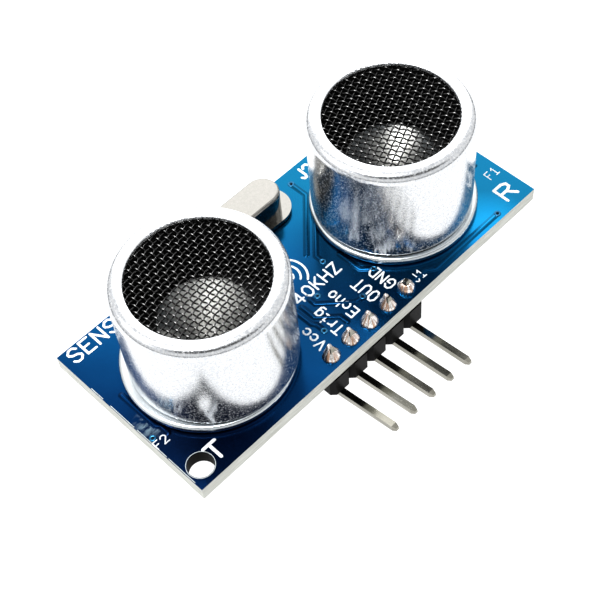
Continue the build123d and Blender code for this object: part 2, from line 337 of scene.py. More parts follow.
# Painted shade in front of and beside the cans, and a painted pool of light by the front right edge:
# centre, full reach, outer reach and gain.
MASK_PAINTED_SHADE_AND_LIGHT = (((-19.5, -5.0), 1.5, 7.0, -0.6), ((4.5, -1.0), 1.5, 6.0, -0.45),
                ((-1.5, -4.8), 1.5, 7.0, -0.5), ((15.5, -10.0), 1.5, 5.0, 1.1))


def mask_colour(f):
    """The mask's blue: navy towards the left front and teal towards the right back, with painted shade
    round the cans and painted light by the front right edge.
    """
    cloud = f.maths("MULTIPLY", f.noise(6.0, 2.0), 8 * MM)
    run = f.maths("ADD", f.axis("X"), f.maths("ADD", f.maths("MULTIPLY", f.axis("Y"), 0.8), cloud))
    teal = f.mixed(f.span(run, 2 * MM, 17 * MM), MASK_BLUE, MASK_TEAL)
    blue = f.mixed(f.span(run, -20 * MM, -6 * MM), MASK_NAVY, teal)
    # Painted shade and painted light, patch by patch.
    for (x, y), full, outer, gain in MASK_PAINTED_SHADE_AND_LIGHT:
        blue = f.scaled(blue, f.span(f.distance(x, y), outer * MM, full * MM, 1.0, 1.0 + gain))
    return blue


GLARE_AT = (-21.2, -1.7)
GLARE_REACH = 1.7


def painted_glare(f, colour):
    """A painted highlight: pale streaks of glare on the mask beside the left can's foot."""
    streaks = f.span(f.noise(0.5, 3.0, stretch=(0.45, 1, 1)), 0.42, 0.62)
    cover = f.maths("MULTIPLY", f.span(f.distance(*GLARE_AT), GLARE_REACH * MM, 0.3 * MM), streaks)
    return f.mixed(cover, colour, (0.30, 0.42, 0.50))


# How far in from the outline a wall counts as the board's edge, and how soft that limit is.
EDGE_DEPTH = 0.3
EDGE_SOFT = 0.05


def board_finish():
    """Glossy blue mask over copper on the faces, pale laminate on the edges, and the walls of holes painted
    near-black as shade.
    """
    f = Finish("board", MASK_BLUE, 0.24)
    mask = painted_glare(f, mask_colour(f))
    layers = f.noise(0.25, 3.0, stretch=(0.12, 0.12, 1.6))
    edge = f.mixed(f.span(layers, 0.35, 0.7), (0.46, 0.47, 0.43), (0.68, 0.69, 0.65))
    flat = f.span(f.maths("ABSOLUTE", f.facing("Z")), 0.5, 0.6)
    side = f.maths("MAXIMUM", f.maths("SUBTRACT", f.maths("ABSOLUTE", f.axis("X")), BOARD_HIGH[0] * MM),
                   f.maths("SUBTRACT", f.maths("ABSOLUTE", f.axis("Y")), BOARD_HIGH[1] * MM))
    outer = f.span(side, -EDGE_DEPTH * MM, (EDGE_SOFT - EDGE_DEPTH) * MM)
    # Walls away from the outline are the holes' walls, painted near-black as shade.
    f.colour(f.mixed(flat, f.mixed(outer, (0.004, 0.005, 0.004), edge), mask))
    f.roughness(f.span(flat, 0.0, 1.0, 0.7, 0.17))
    coated = f.maths("MAXIMUM", flat, f.maths("SUBTRACT", 1.0, outer))
    f.link(f.span(coated, 0.0, 1.0, 0.0, 0.93), f.shader.inputs["Metallic"])
    f.bump(f.noise(0.5, 3.0), 0.25, 0.010)
    f.bump(layers, 0.2, 0.02)
    return f.material


def can_finish(name):
    """Drawn aluminium, frosted in fine specks, with faint draw marks, and its inside painted near-black as
    shade.
    """
    f = Finish(f"{name}_can", (0.86, 0.87, 0.88), 0.24, 1.0)
    grain = f.noise(0.2, 3.0, rough=0.65)
    streak = f.noise(0.6, 3.0, stretch=(1, 1, 0.4))
    metal = f.mixed(f.span(grain, 0.38, 0.62), (0.59, 0.61, 0.64), (0.77, 0.78, 0.79))
    low, high = node_box(f"{name}_can")
    reach = f.distance(*((low + high) / 2)[:2])
    bore = (high[0] - low[0]) / 2 - CAN_WALL / 2
    below_lid = f.maths("LESS_THAN", f.axis("Z"), (high[2] - CAN_WALL * 0.9) * MM)
    # Inside the can, below the lid, the metal is painted near-black as shade.
    inside = f.maths("MULTIPLY", f.maths("LESS_THAN", reach, bore * MM), below_lid)
    f.colour(f.mixed(inside, metal, (0.01, 0.01, 0.01)))
    frosted = f.span(f.noise(0.18, 2.0), 0.5, 0.64, 1.0, 0.62)
    f.link(f.maths("MULTIPLY", f.maths("SUBTRACT", 1.0, inside), frosted), f.shader.inputs["Metallic"])
    rough = f.span(f.maths("ADD", grain, streak), 0.7, 1.3, 0.14, 0.24)
    f.roughness(f.maths("ADD", rough, f.maths("MULTIPLY", inside, 0.4)))
    f.bump(grain, 0.35, 0.014)
    f.bump(streak, 0.3, 0.022)
    return f.material


def ring_finish():
    """Bright rolled aluminium, a shade bluer than the cans."""
    f = Finish("ring_aluminium", (0.62, 0.66, 0.68), 0.26, 1.0)
    grain = f.noise(0.12, 3.0)
    f.colour(f.mixed(grain, (0.56, 0.61, 0.64), (0.70, 0.73, 0.74)))
    f.bump(grain, 0.3, 0.01)
    return f.material


def metal_finish(name, dark, light, roughness, size, depth, stretch=(1, 1, 1)):
    """A plated or bare metal with grain of the given size."""
    f = Finish(name, light, roughness, 1.0)
    grain = f.noise(size, 4.0, stretch=stretch, rough=0.65)
    f.colour(f.mixed(f.span(grain, 0.3, 0.7), dark, light))
    f.roughness(f.span(grain, 0.25, 0.75, roughness * 0.75, roughness * 1.35))
    f.bump(grain, 0.4, depth)
    return f.material


# Painted highlights on each cone, from its middle: x, y, full reach and outer reach.
CONE_PAINTED_HIGHLIGHTS = (((1.4, 0.9, 2.2, 4.8), (-4.0, 0.9, 0.9, 2.2)),
               ((2.7, 1.3, 1.3, 2.6), (1.0, 0.6, 1.2, 3.6)))


def cone_finish(name, painted_highlights):
    """Spun foil, half matt: painted highlights round a place or two inside, and painted shade elsewhere."""
    f = Finish(f"{name}_cone", (0.9, 0.9, 0.88), 0.36, 0.55)
    grain = f.noise(0.35, 3.0)
    foil = f.mixed(f.span(grain, 0.3, 0.7), (0.84, 0.83, 0.78), (0.97, 0.97, 0.95))
    low, high = node_box(f"{name}_cone")
    centre = (low + high) / 2
    uneven = f.maths("MULTIPLY", f.noise(2.5, 2.0), 1.2 * MM)
    painted_shade = 1.0
    for x, y, full, outer in painted_highlights:
        away = f.maths("ADD", f.distance(centre[0] + x, centre[1] + y), uneven)
        painted_shade = f.maths("MULTIPLY", painted_shade, f.span(away, full * MM, outer * MM))
    # Away from the painted highlights the foil is painted dark as shade.
    f.colour(f.mixed(painted_shade, foil, (0.13, 0.14, 0.145)))
    f.roughness(f.span(grain, 0.3, 0.7, 0.28, 0.44))
    f.bump(grain, 0.5, 0.02)
    return f.material


def plastic_finish(name, dark, light, roughness, size, depth, shine=0.5):
    """Moulded plastic or ceramic with a fine skin texture."""
    f = Finish(name, light, roughness, Specular_IOR_Level=shine)
    skin = f.noise(size, 4.0, rough=0.65)
    f.colour(f.mixed(f.span(skin, 0.3, 0.7), dark, light))
    f.roughness(f.span(skin, 0.25, 0.75, roughness * 0.85, min(1.0, roughness * 1.15)))
    f.bump(skin, 0.4, depth)
    return f.material


def mask_finish(name, strength):
    """The mask over a track, or over the bare gap beside one: brighter or darker than over copper."""
    f = Finish(name, MASK_BLUE, 0.17, 0.93)
    f.colour(f.scaled(mask_colour(f), strength))
    f.bump(f.noise(0.4, 3.0), 0.2, 0.01)
    return f.material


def solder_finish():
    """Bright solder, drawn up in streaks with a coppery flux tint between them."""
    f = Finish("solder", (0.92, 0.91, 0.89), 0.16, 1.0)
    streak = f.noise(0.22, 3.0, stretch=(1, 1, 0.22))
    crackle = f.noise(0.35, 2.0)
    bright = f.mixed(f.span(crackle, 0.35, 0.65), (0.80, 0.78, 0.76), (0.97, 0.97, 0.96))
    f.colour(f.mixed(f.span(streak, 0.46, 0.6), bright, (0.62, 0.36, 0.24)))
    f.roughness(f.span(crackle, 0.3, 0.7, 0.10, 0.3))
    f.bump(streak, 0.8, 0.05)
    f.bump(crackle, 0.7, 0.05)
    return f.material


# The woven wire's radius, and how far each family of wires bends out of the weave's plane.
WIRE_R = 0.075
CRIMP = (0.055, 0.095)


def weave_finish():
    """Black wire, with painted highlights: bright metal along the highest crowns of the weave."""
    f = Finish("woven_wire", (0.004, 0.004, 0.004), 0.24)
    low, high = node_box("transmitter_grille")
    height = f.maths("SUBTRACT", f.axis("Z"), (low[2] + high[2]) / 2 * MM)
    crown_jitter = f.noise(0.25, 2.0)
    crown_line = WIRE_R + CRIMP[1] * 0.8
    # The highest crowns are made bright and metallic as a painted highlight.
    crown_highlight = f.span(f.maths("ADD", height, f.maths("MULTIPLY", crown_jitter, 0.02 * MM)),
                  crown_line * MM, (crown_line + 0.035) * MM)
    f.colour(f.mixed(crown_highlight, (0.003, 0.003, 0.003), (0.80, 0.80, 0.79)))
    f.link(crown_highlight, f.shader.inputs["Metallic"])
    f.bump(f.noise(0.05, 2.0), 0.3, 0.003)
    return f.material


# Streaks of the header's solder: round a joint, up it per millimetre, and the jump to the next one.
STREAKS_ROUND = 5.0
STREAKS_UP = 0.5
STREAKS_JUMP = 7.3


def fan_solder_finish():
    """Header solder: streaks fan down from each peak, with a painted coppery reflection in them that is
    strongest on one side.
    """
    f = Finish("header_solder", (0.92, 0.91, 0.89), 0.16, 1.0)
    lows, highs = zip(*(node_box(f"header_pin_{pin}") for pin in PINS))
    pitch = (lows[-1][0] - lows[0][0]) / (len(PINS) - 1)
    first = (lows[0][0] + highs[0][0]) / 2
    row = highs[0][1] - (highs[0][0] - lows[0][0]) / 2
    shifted = f.maths("SUBTRACT", f.axis("X"), (first - pitch / 2) * MM)
    local = f.maths("SUBTRACT", f.maths("FLOORED_MODULO", shifted, pitch * MM), pitch / 2 * MM)
    depth = f.maths("SUBTRACT", f.axis("Y"), row * MM)
    angle = f.maths("ARCTAN2", depth, local)
    fan = f.tree.nodes.new("ShaderNodeCombineXYZ")
    f.link(f.maths("MULTIPLY", angle, STREAKS_ROUND), fan.inputs["X"])
    f.link(f.maths("MULTIPLY", f.axis("Z"), STREAKS_UP / MM), fan.inputs["Y"])
    joint = f.maths("FLOOR", f.maths("DIVIDE", shifted, pitch * MM))
    f.link(f.maths("MULTIPLY", joint, STREAKS_JUMP), fan.inputs["Z"])
    streaks = f.tree.nodes.new("ShaderNodeTexNoise")
    streaks.inputs["Scale"].default_value = 1.0
    streaks.inputs["Detail"].default_value = 3.0
    f.link(fan.outputs[0], streaks.inputs["Vector"])
    streak = streaks.outputs["Fac"]
    towards_pink_side = f.maths("ADD", f.maths("MULTIPLY", local, -1.0), f.maths("MULTIPLY", depth, -0.5))
    reflected_side = f.span(towards_pink_side, -0.3 * MM, 0.5 * MM)
    # The coppery streaks are a painted reflection, strongest on one side of each joint.
    pink_reflection = f.maths("MULTIPLY", f.span(streak, 0.42, 0.56), f.span(reflected_side, 0.0, 1.0, 0.25, 1.0))
    f.colour(f.mixed(pink_reflection, (0.93, 0.92, 0.90), (0.52, 0.33, 0.23)))
    f.roughness(f.span(streak, 0.3, 0.7, 0.14, 0.34))
    f.bump(streak, 0.9, 0.07)
    f.bump(f.noise(0.3, 2.0), 0.4, 0.03)
    return f.material


def ink_finish():
    """White screen-printed ink, slightly uneven in cover."""
    f = Finish("legend_ink", (0.86, 0.88, 0.9), 0.45)
    cover = f.noise(0.12, 4.0, rough=0.7)
    f.colour(f.mixed(f.span(cover, 0.28, 0.5), (0.55, 0.66, 0.80), (0.90, 0.92, 0.93)))
    f.bump(cover, 0.3, 0.008)
    return f.material


INK = ink_finish()
WEAVE = weave_finish()
HEADER_SOLDER = fan_solder_finish()
TRACK = mask_finish("mask_over_track", 1.05)
GAP = mask_finish("mask_over_gap", 0.6)
VIA_RING = metal_finish("via_ring", (0.015, 0.10, 0.20), (0.05, 0.17, 0.29), 0.2, 0.2, 0.004)
SOLDER = solder_finish()
TIN = metal_finish("tin_plate", (0.66, 0.66, 0.65), (0.82, 0.82, 0.80), 0.28, 0.1, 0.006)
PIN_TIN = metal_finish("pin_plate", (0.20, 0.195, 0.165), (0.35, 0.34, 0.30), 0.16, 0.9, 0.004,
                       stretch=(1, 0.1, 1))
RIM_OF_HOLE = plastic_finish("hole_rim", (0.40, 0.45, 0.45), (0.62, 0.66, 0.66), 0.4, 0.1, 0.004)
CHIP = plastic_finish("chip_plastic", (0.014, 0.014, 0.015), (0.028, 0.028, 0.03), 0.55, 0.05, 0.006)
# The dimples of the vias are painted near-black as shade.
VIA_PIT_SHADE = plastic_finish("via_pit_painted_shade", (0.002, 0.006, 0.012), (0.004, 0.01, 0.02), 0.6, 0.1, 0.004, shine=0.1)

FINISH_OF_SLOT = {
    "board": board_finish(),
    "header_plastic": plastic_finish("header_plastic", (0.003, 0.003, 0.003), (0.008, 0.008, 0.009),
                                     0.42, 0.08, 0.008, shine=0.06),
    "header_pin": PIN_TIN,
    "solder": SOLDER,
    "crystal_metal": metal_finish("crystal_metal", (0.29, 0.285, 0.265), (0.33, 0.32, 0.30), 0.12,
                                  0.3, 0.002),
    "tinned_lead": TIN,
    "quartz": plastic_finish("quartz", (0.6, 0.62, 0.62), (0.75, 0.77, 0.77), 0.15, 0.5, 0.002),
    "ring_aluminium": ring_finish(),
    "base_plastic": plastic_finish("base_plastic", (0.01, 0.01, 0.01), (0.02, 0.02, 0.02), 0.6, 0.1, 0.006),
    "silicone": plastic_finish("silicone", (0.5, 0.5, 0.48), (0.7, 0.7, 0.68), 0.4, 0.3, 0.01),
    "brass_plate": metal_finish("brass_plate", (0.62, 0.45, 0.18), (0.78, 0.6, 0.3), 0.3, 0.2, 0.004),
    "piezo_ceramic": plastic_finish("piezo_ceramic", (0.5, 0.48, 0.44), (0.68, 0.66, 0.62), 0.4, 0.1,
                                    0.004),
    "copper_wire": metal_finish("copper_wire", (0.5, 0.2, 0.1), (0.75, 0.38, 0.22), 0.3, 0.1, 0.002),
    "chip_plastic": CHIP,
    "chip_lead": TIN,
    "resistor": plastic_finish("resistor", (0.010, 0.010, 0.012), (0.02, 0.02, 0.024), 0.3, 0.1, 0.004),
    "capacitor": plastic_finish("capacitor", (0.36, 0.25, 0.15), (0.50, 0.37, 0.24), 0.5, 0.06, 0.006),
    "end_cap": TIN,
}
OWN_FINISHES = {f"{name}_can": can_finish(name) for name in SIDES}
OWN_FINISHES |= {f"{name}_cone": cone_finish(name, at) for name, at in zip(SIDES, CONE_PAINTED_HIGHLIGHTS)}
for entry in frame["record"]["subparts"]:
    finish = OWN_FINISHES.get(entry["node"]) or FINISH_OF_SLOT.get(entry["material_slot"])
    if finish:
        node = NODES[entry["node"]]
        node.data.materials.clear()
        node.data.materials.append(finish)

# ---------------------------------------------------------------- woven grilles

WEAVE_SIDES = 8
WEAVE_STEPS = 6
# For each can: how far the weave is turned, in degrees, and the spacing of each family of wires.
WEAVES = {"transmitter": (9.3, (0.568, 0.504)), "receiver": (24.2, (0.602, 0.533))}


def weave(name, centre, radius, turn, spacings):
    """Two families of round wires that pass over and under each other, cut to a disc."""
    shape = Shape()
    for family, angle in enumerate((turn, turn + 90)):
        along = np.array([math.cos(math.radians(angle)), math.sin(math.radians(angle)), 0])
        across = np.array([-along[1], along[0], 0])
        gap, pitch = spacings[family], spacings[1 - family]
        count = int(radius / gap)
        for number in range(-count, count + 1):
            offset = number * gap
            half = math.sqrt(max(0.0, radius**2 - offset**2))
            reach = int(half / pitch * WEAVE_STEPS)
            if reach < WEAVE_STEPS:
                continue
            rings = []
            for step in range(-reach, reach + 1):
                travel = step / WEAVE_STEPS
                phase = math.pi * (travel + number + family)
                rise = -math.sin(phase) * CRIMP[family] * math.pi / pitch
                point = np.array(centre) + along * travel * pitch + across * offset
                point[2] += math.cos(phase) * CRIMP[family]
                up = np.array([0, 0, 1]) - along * rise
                up /= np.linalg.norm(up)
                rings.append([
                    tuple(point + WIRE_R * (across * math.cos(a) + up * math.sin(a)))
                    for a in (2 * math.pi * k / WEAVE_SIDES for k in range(WEAVE_SIDES))
                ])
            shape.loops(rings)
    shape.build(f"{name}_woven_grille", WEAVE, "grille", replaces=(f"{name}_grille",))


for side_name, (turn, spacings) in WEAVES.items():
    low, high = node_box(f"{side_name}_grille")
    weave(side_name, (low + high) / 2, (high[0] - low[0]) / 2 - WIRE_R, turn, spacings)

# ---------------------------------------------------------------- solder

# Profiles of the joints, as pairs of radius and height.
PEAKED_JOINT = ((0.88, 0.0), (0.88, 0.04), (0.85, 0.14), (0.79, 0.30), (0.68, 0.50), (0.55, 0.72),
                (0.42, 0.95), (0.32, 1.16), (0.25, 1.33), (0.22, 1.44), (0.14, 1.52), (0.04, 1.54))
ROUND_JOINT = ((0.86, 0.0), (0.87, 0.06), (0.86, 0.20), (0.82, 0.42), (0.74, 0.62), (0.63, 0.80),
               (0.50, 0.92), (0.38, 0.96), (0.26, 0.92), (0.17, 0.84), (0.09, 0.80), (0.03, 0.78))
REAR_JOINT = ((1.12, 0.0), (1.12, 0.04), (1.02, 0.12), (0.86, 0.26), (0.70, 0.44), (0.57, 0.66),
              (0.48, 0.88), (0.42, 1.02), (0.30, 1.10), (0.12, 1.14))
JOINT_SIDES = 48


def solder_joint(shape, profile, centre, z, side, scale, draw, lean):
    """One joint: its flanks are creased by ridges that run up it, and its peak leans over."""
    phases = draw.uniform(0, 2 * math.pi, 3)
    creases = draw.uniform(0.8, 1.2, 3) * (0.05, 0.07, 0.035)

    def wobble(angle, level):
        climb = min(1.0, 0.3 + level / 4)
        folds = creases[0] * math.sin(2 * angle + phases[0])
        folds += creases[1] * (0.5 - abs(math.sin(3.5 * angle + phases[1])))
        folds += creases[2] * (0.5 - abs(math.sin(6.5 * angle + phases[2])))
        return folds * climb

    start = len(shape.verts)
    sized = [(radius * scale, height * scale) for radius, height in profile]
    shape.turned(sized, centre, z, side, JOINT_SIDES, wobble)
    top = sized[-1][1]
    for k in range(start, len(shape.verts)):
        x, y, at = shape.verts[k]
        share = max(0.0, abs(at - z) / top) ** 1.6
        shape.verts[k] = (x + lean[0] * share, y + lean[1] * share, at)


def header_solder():
    """Five joints drawn up over the pins' cut ends; the last one is rounder, with a dimple."""
    shape = Shape()
    draw = np.random.default_rng(5)
    for pin in PINS:
        low, high = node_box(f"header_pin_{pin}")
        centre = ((low[0] + high[0]) / 2, high[1] - (high[0] - low[0]) / 2)
        rounded = pin == PINS[-1]
        lean = (draw.uniform(-0.12, 0.0), draw.uniform(0.12, 0.26))
        solder_joint(shape, ROUND_JOINT if rounded else PEAKED_JOINT, centre, FRONT, 1,
                     draw.uniform(0.97, 1.05), draw, (0, 0) if rounded else lean)
    shape.build("header_solder", HEADER_SOLDER, "solder", replaces=("header_solder_joints",))


def lead_centres(node, pitch_axis):
    """The centres of a pair of round leads, from the box round both."""
    low, high = node_box(node)
    radius = (high - low)[1 - pitch_axis] / 2
    middle = (low + high) / 2
    ends = []
    for edge, inward in ((low, 1), (high, -1)):
        end = middle.copy()
        end[pitch_axis] = edge[pitch_axis] + inward * radius
        ends.append((end[0], end[1]))
    return ends


def rear_solder(name, places, node, scale, seed):
    """Joints round clipped leads on the rear, in place of one node's plain ones."""
    shape = Shape()
    draw = np.random.default_rng(seed)
    for centre in places:
        lean = draw.uniform(-0.06, 0.06, 2)
        solder_joint(shape, REAR_JOINT, centre, REAR, -1, scale, draw, lean)
    shape.build(name, SOLDER, "solder", replaces=(node,))


header_solder()
CAN_LEADS = [p for name in SIDES for p in lead_centres(f"{name}_leads", 1)]
CRYSTAL_LEADS = lead_centres("crystal_leads", 0)
rear_solder("transducer_solder", CAN_LEADS, "transducer_solder_joints", 1.0, 11)
rear_solder("crystal_solder", CRYSTAL_LEADS, "crystal_solder_joints", 0.74, 12)

# ---------------------------------------------------------------- legends

INK_HEIGHT = 0.02
SHARP_TURN = math.radians(62)
GLYPH_GAP = 0.3

# Each glyph is a list of pen strokes through (x, y) points, in units of the letter's height.
ROUND_O = ((0, .25), (0, .75), (.19, 1), (.43, 1), (.62, .75), (.62, .25), (.43, 0), (.19, 0), (0, .25))
GLYPHS = {
    "C": [((.62, .78), (.43, 1), (.19, 1), (0, .75), (0, .25), (.19, 0), (.43, 0), (.62, .22))],
    "D": [((0, 0), (0, 1), (.38, 1), (.62, .72), (.62, .28), (.38, 0), (0, 0))],
    "E": [((.58, 1), (0, 1), (0, 0), (.58, 0)), ((0, .52), (.42, .52))],
    "F": [((.58, 1), (0, 1), (0, 0)), ((0, .52), (.42, .52))],
    "G": [((.62, .78), (.43, 1), (.19, 1), (0, .75), (0, .25), (.19, 0), (.43, 0), (.62, .22),
           (.62, .48), (.36, .48))],
    "H": [((0, 0), (0, 1)), ((.6, 0), (.6, 1)), ((0, .5), (.6, .5))],
    "J": [((.45, 1), (.45, .2), (.3, 0), (.15, 0), (0, .2))],
    "K": [((0, 0), (0, 1)), ((.58, 1), (0, .4)), ((.18, .58), (.58, 0))],
    "N": [((0, 0), (0, 1), (.6, 0), (.6, 1))],
    "O": [ROUND_O],
    "Q": [ROUND_O, ((.38, .25), (.62, -.05))],
    "R": [((0, 0), (0, 1), (.42, 1), (.6, .86), (.6, .64), (.42, .5), (0, .5)), ((.32, .5), (.6, 0))],
    "S": [((.6, .82), (.43, 1), (.18, 1), (0, .82), (0, .68), (.16, .54), (.44, .46), (.6, .32),
           (.6, .18), (.43, 0), (.18, 0), (0, .18))],
    "T": [((0, 1), (.64, 1)), ((.32, 1), (.32, 0))],
    "U": [((0, 1), (0, .22), (.18, 0), (.44, 0), (.62, .22), (.62, 1))],
    "V": [((0, 1), (.31, 0), (.62, 1))],
    "Y": [((0, 1), (.3, .5), (.6, 1)), ((.3, .5), (.3, 0))],
    "Z": [((0, 1), (.6, 1), (0, 0), (.6, 0))],
    "0": [ROUND_O],
    "1": [((.1, .8), (.32, 1), (.32, 0)), ((.1, 0), (.54, 0))],
    "2": [((0, .8), (.16, 1), (.44, 1), (.6, .82), (.6, .62), (0, 0), (.6, 0))],
    "3": [((0, .85), (.16, 1), (.44, 1), (.6, .84), (.6, .66), (.4, .52), (.6, .36), (.6, .16),
           (.44, 0), (.16, 0), (0, .15))],
    "4": [((.46, 0), (.46, 1), (0, .3), (.62, .3))],
    "5": [((.56, 1), (.06, 1), (.02, .56), (.4, .6), (.6, .42), (.6, .18), (.42, 0), (.16, 0),
           (0, .14))],
    "6": [((.54, .9), (.4, 1), (.2, 1), (0, .75), (0, .25), (.18, 0), (.42, 0), (.6, .2), (.6, .38),
           (.42, .56), (.16, .56), (0, .4))],
    "7": [((0, 1), (.6, 1), (.22, 0))],
    "8": [((.3, .53), (.08, .68), (.08, .86), (.22, 1), (.38, 1), (.52, .86), (.52, .68), (.3, .53),
           (.6, .3), (.6, .16), (.42, 0), (.18, 0), (0, .16), (0, .3), (.3, .53))],
    "9": [((.6, .6), (.44, .44), (.18, .44), (0, .62), (0, .8), (.18, 1), (.42, 1), (.6, .75),
           (.6, .25), (.4, 0), (.2, 0), (.06, .1))],
    "c": [((.5, .52), (.36, .66), (.14, .66), (0, .5), (0, .16), (.14, 0), (.36, 0), (.5, .14))],
    "g": [((.5, .5), (.36, .66), (.14, .66), (0, .5), (0, .2), (.14, .04), (.36, .04), (.5, .2)),
          ((.5, .66), (.5, -.14), (.36, -.3), (.1, -.3))],
    "h": [((0, 1), (0, 0)), ((0, .45), (.18, .66), (.36, .66), (.5, .5), (.5, 0))],
    "i": [((.06, .66), (.24, .66), (.24, 0)), ((.06, 0), (.42, 0)), ((.24, .92), (.24, .97))],
    "o": [((0, .18), (0, .48), (.15, .66), (.35, .66), (.5, .48), (.5, .18), (.35, 0), (.15, 0),
           (0, .18))],
    "r": [((0, .66), (0, 0)), ((0, .4), (.2, .62), (.42, .66))],
}


def split_at_sharp_turns(points):
    """Pen lifts where a line turns sharply, so that each corner gets round ends."""
    runs, run = [], [points[0]]
    for a, b, c in zip(points, points[1:], points[2:]):
        run.append(b)
        first = math.atan2(b[1] - a[1], b[0] - a[0])
        second = math.atan2(c[1] - b[1], c[0] - b[0])
        turn = abs((second - first + math.pi) % (2 * math.pi) - math.pi)
        if turn > SHARP_TURN:
            runs.append(run)
            run = [b]
    run.append(points[-1])
    return runs + [run]


def text_strokes(text, start, length, height, turn=0):
    """The strokes of a word whose baseline starts at start and runs for length at turn degrees."""
    widths = [max(x for stroke in GLYPHS[letter] for x, _ in stroke) for letter in text]
    stretch = length / (sum(widths) + GLYPH_GAP * (len(text) - 1))
    c, s = math.cos(math.radians(turn)), math.sin(math.radians(turn))
    pen, strokes = 0.0, []
    for letter, width in zip(text, widths):
        for stroke in GLYPHS[letter]:
            for run in split_at_sharp_turns(stroke):
                flat = [((pen + x) * stretch, y * height) for x, y in run]
                strokes.append([(start[0] + x * c - y * s, start[1] + x * s + y * c) for x, y in flat])
        pen += width + GLYPH_GAP
    return strokes


def arc(centre, radius, start, end, steps):
    """Points along an arc, from start to end in degrees."""
    angles = (math.radians(start + (end - start) * i / steps) for i in range(steps + 1))
    return [(centre[0] + radius * math.cos(a), centre[1] + radius * math.sin(a)) for a in angles]


def legend(name, strokes, width, side=1):
    """A printed mark. On the rear the strokes are mirrored, so that they read from behind."""
    shape = Shape()
    z = FRONT if side > 0 else REAR
    for points in strokes:
        if side < 0:
            points = [(-x, y) for x, y in points]
        shape.stroke(points, width, INK_HEIGHT, z, side)
    shape.build(name, INK, "board")


# The words beside the pins, which run up the board: text, x, y, length and height.
PIN_LABELS = (("Vcc", -4.4, -7.5, 2.6, 1.0), ("Trig", -2.05, -7.5, 3.2, 1.1),
              ("Echo", 0.3, -7.15, 3.4, 1.1), ("OUT", 3.0, -7.35, 2.7, 1.25),
              ("GND", 5.06, -7.55, 2.75, 1.15))
for text, x, y, length, height in PIN_LABELS:
    legend(f"label_{text}", text_strokes(text, (x, y), length, height, 90), 0.2)

# The other words on the front: text, start, length, height and width of the line.
FRONT_MARKS = (("J1", (6.3, -9.05), 1.25, 1.0, 0.13), ("J2", (8.25, 8.0), 1.6, 1.3, 0.3),
               ("T", (-19.75, -8.8), 1.35, 1.65, 0.34), ("R", (19.65, -9.0), 1.5, 1.8, 0.34),
               ("F1", (20.6, -6.05), 1.3, 0.95, 0.13), ("F2", (-22.4, -4.25), 1.3, 0.85, 0.13),
               ("SENSOR", (-21.6, 8.15), 8.4, 1.6, 0.26), ("40KHZ", (-3.0, -2.62), 5.6, 1.25, 0.22))
for text, start, length, height, width in FRONT_MARKS:
    legend(f"mark_{text}", text_strokes(text, start, length, height), width)

# A plain mark of a source and three arcs of sound.
EMBLEM_AT = (-1.7, 0.65)
EMBLEM = [arc(EMBLEM_AT, r, -52, 52, 14) for r in (0.75, 1.45, 2.15)]
EMBLEM.append(arc(EMBLEM_AT, 0.13, 0, 345, 12))
legend("emblem_sound_waves", EMBLEM, 0.24)

# ---------------------------------------------------------------- tracks, vias and pads

TRACK_WIDTH = 0.3
GAP_WIDTH = 0.66
TRACK_HEIGHT = 0.004
GAP_HEIGHT = 0.002

FRONT_TRACKS = (
    ((6.9, 8.3), (6.9, 6.4), (1.6, 1.1)),
    ((8.3, 5.4), (7.2, 5.4), (2.1, 0.3), (2.1, -0.6)),
    ((-1.95, -2.9), (-1.95, -3.6), (0.7, -6.2), (1.6, -6.4)),
    ((-3.1, -2.9), (-3.1, -4.6), (-1.4, -6.3), (-1.4, -7.2)),
    ((-3.85, -2.9), (-3.85, -4.9), (-3.56, -5.3), (-3.56, -6.2)),
    ((3.8, -1.2), (3.8, -3.9), (4.6, -4.7)),
    ((-20.7, -3.6), (-20.7, -2.6), (-21.0, -2.2), (-21.0, 2.4)),
    ((5.08, -8.7), (7.9, -8.7), (8.7, -9.3), (17.5, -9.3)),
    ((20.9, -3.6), (20.9, 3.2), (20.0, 4.4)),
)
FRONT_VIAS = ((-3.56, -6.33), (1.7, -6.3), (6.9, 8.5), (2.1, -0.65), (-1.15, -3.1), (-22.0, -3.0),
              (17.7, -9.3), (4.75, -4.85))
